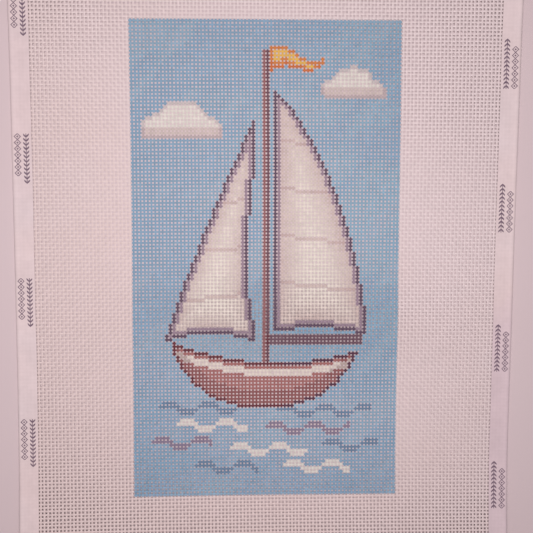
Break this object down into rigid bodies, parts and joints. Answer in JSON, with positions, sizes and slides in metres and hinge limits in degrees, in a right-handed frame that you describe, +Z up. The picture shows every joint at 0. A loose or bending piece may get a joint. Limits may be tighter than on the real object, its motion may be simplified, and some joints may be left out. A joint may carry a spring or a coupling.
{
  "type": "hand-painted needlepoint canvas",
  "caption": "Rectangular sheet of open white mono mesh with folded edge tape and a stitch-by-stitch painted panel of a sailing boat on light blue, lying face up.",
  "frame": {"origin": "middle of the sheet's bounding box, on the surface that it lies on", "axes": "+Z up, out of the painted face; +Y towards the top of the painted picture; +X to the right of the picture"},
  "size_m": [0.2712, 0.3802, 0.0131],
  "materials": {
    "mesh_canvas": "white stiffened cotton mesh, bare in the margins and hand-painted in the panel",
    "edge_tape": "smooth closely woven white cotton tape with a small printed ornament"
  },
  "bodies": {
    "root": {"mesh_canvas": "mesh_canvas", "tape_left": "edge_tape", "tape_right": "edge_tape", "tape_top": "edge_tape", "tape_bottom": "edge_tape"}
  },
  "joints": []
}
